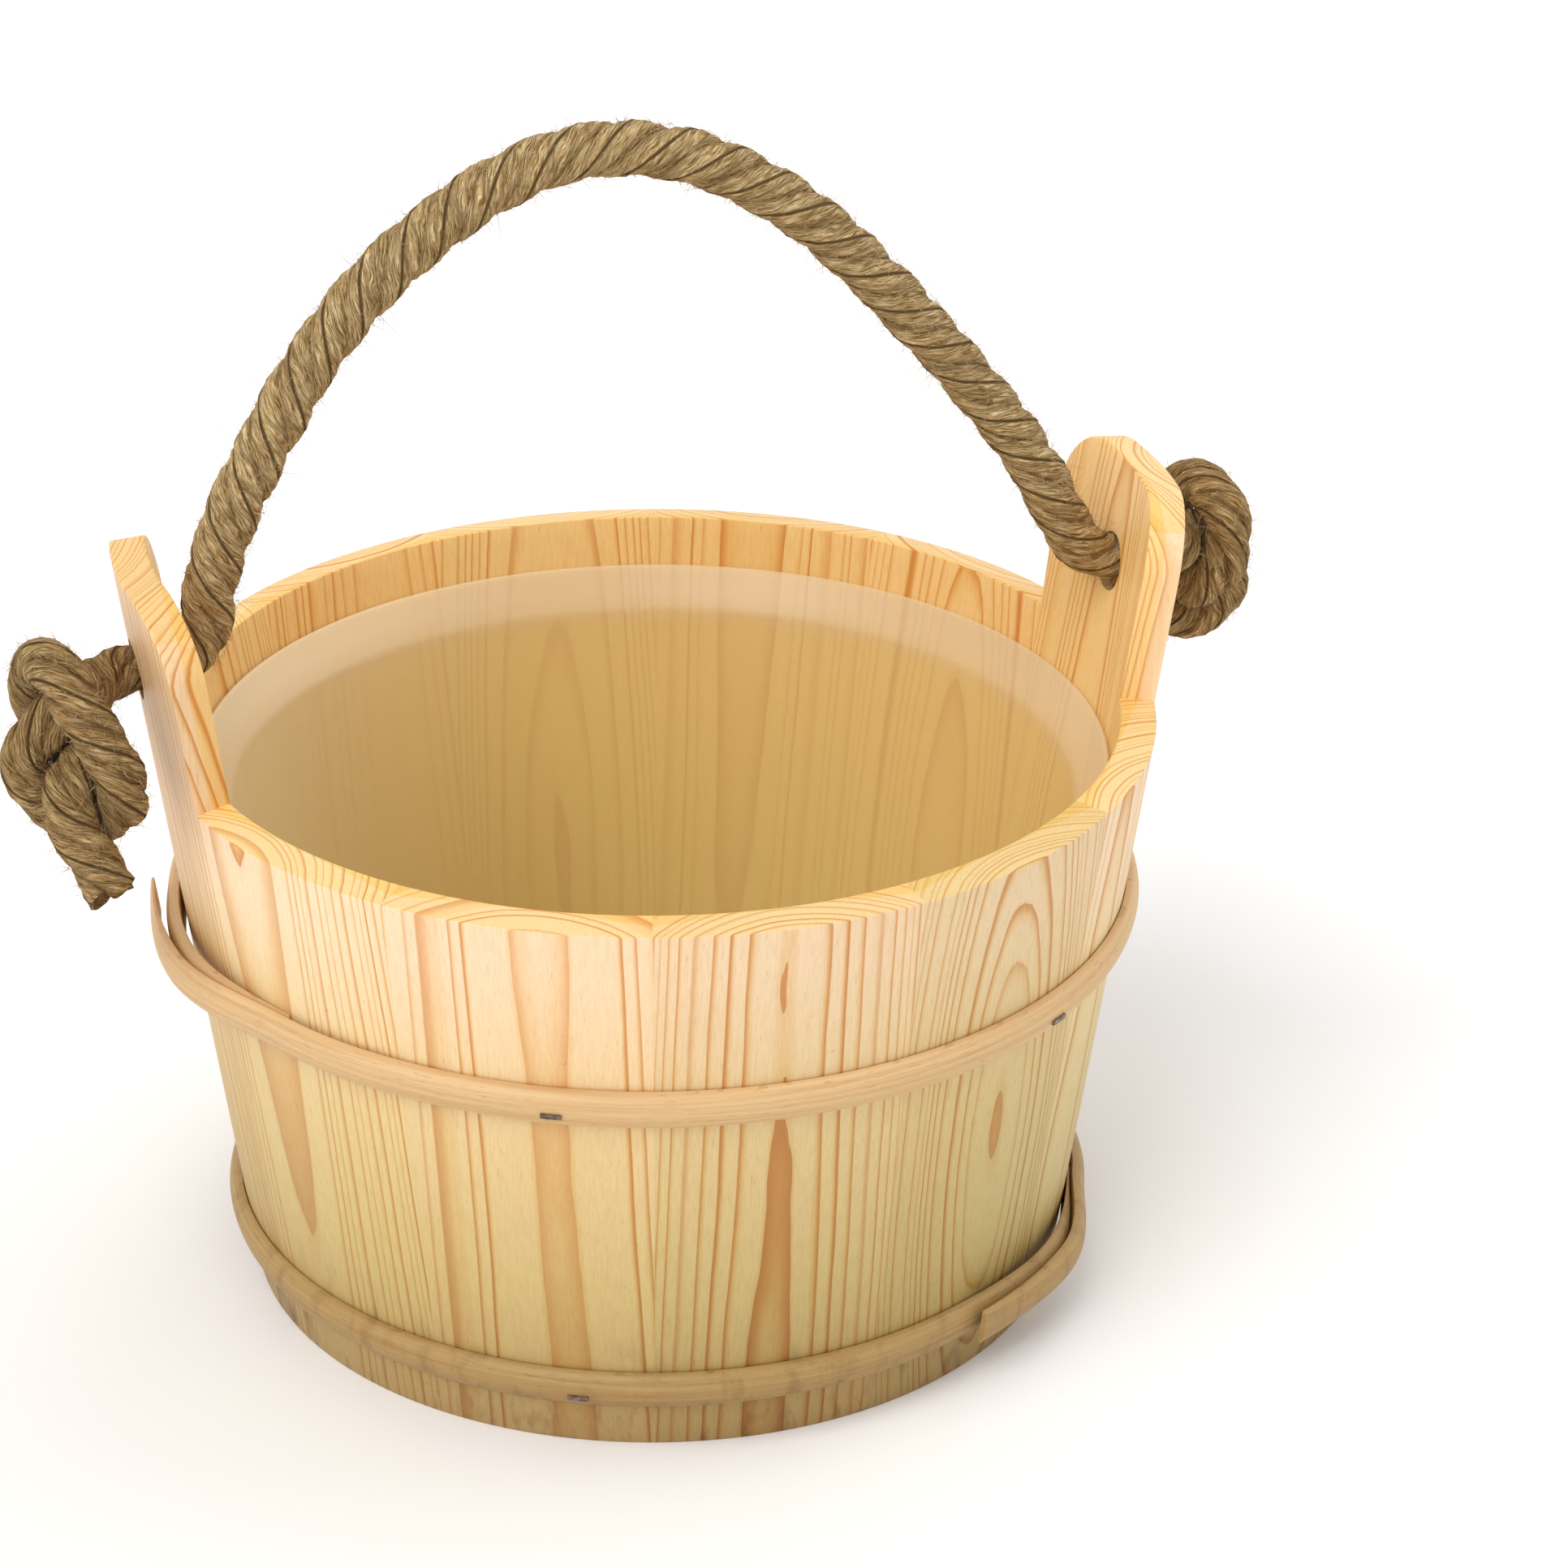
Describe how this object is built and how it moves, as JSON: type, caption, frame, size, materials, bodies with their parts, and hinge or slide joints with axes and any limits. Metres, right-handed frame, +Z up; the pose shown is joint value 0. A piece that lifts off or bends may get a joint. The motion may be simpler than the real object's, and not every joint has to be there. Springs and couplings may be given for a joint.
{
  "type": "bucket",
  "caption": "Coopered wooden bucket with raised ear staves, lapped wooden hoops, a knotted rope bail and a lift-out plastic liner.",
  "frame": {"origin": "centre of the bucket's foot, on the surface it stands on", "axes": "+Z up along the bucket's axis, X through the two ears and their rope hole, -Y the front"},
  "size_m": [0.328, 0.25, 0.302],
  "materials": {
    "pine": "satin, clear oiled",
    "pine_ear": "satin, clear oiled",
    "pine_board": "planed",
    "hoop_wood": "fine grained, bare",
    "staple_steel": "plain wire",
    "liner_plastic": "frosted, translucent",
    "jute": "coarse natural rope"
  },
  "bodies": {
    "bucket": {"stave_01": "pine", "stave_02": "pine", "stave_03": "pine", "stave_04": "pine", "stave_05": "pine", "stave_06": "pine", "stave_07": "pine", "stave_08": "pine", "stave_09": "pine", "stave_10": "pine", "stave_ear_left": "pine_ear", "stave_ear_right": "pine_ear", "base_board_1": "pine_board", "base_board_2": "pine_board", "base_board_3": "pine_board", "hoop_upper": "hoop_wood", "hoop_lower": "hoop_wood", "hoop_upper_staples": "staple_steel", "hoop_lower_staples": "staple_steel"},
    "bail": {"rope_bail": "jute", "rope_end_left": "jute", "rope_end_right": "jute"},
    "liner": {"liner": "liner_plastic"}
  },
  "joints": [
    {"name": "bail_swing", "type": "hinge", "parent": "bucket", "child": "bail", "pos_m": [0, 0, 0.175], "axis": [1, 0, 0], "range_deg": [-97, 97]},
    {"name": "liner_lift", "type": "slide", "parent": "bucket", "child": "liner", "axis": [0, 0, 1], "range_m": [0, 0.014]}
  ]
}
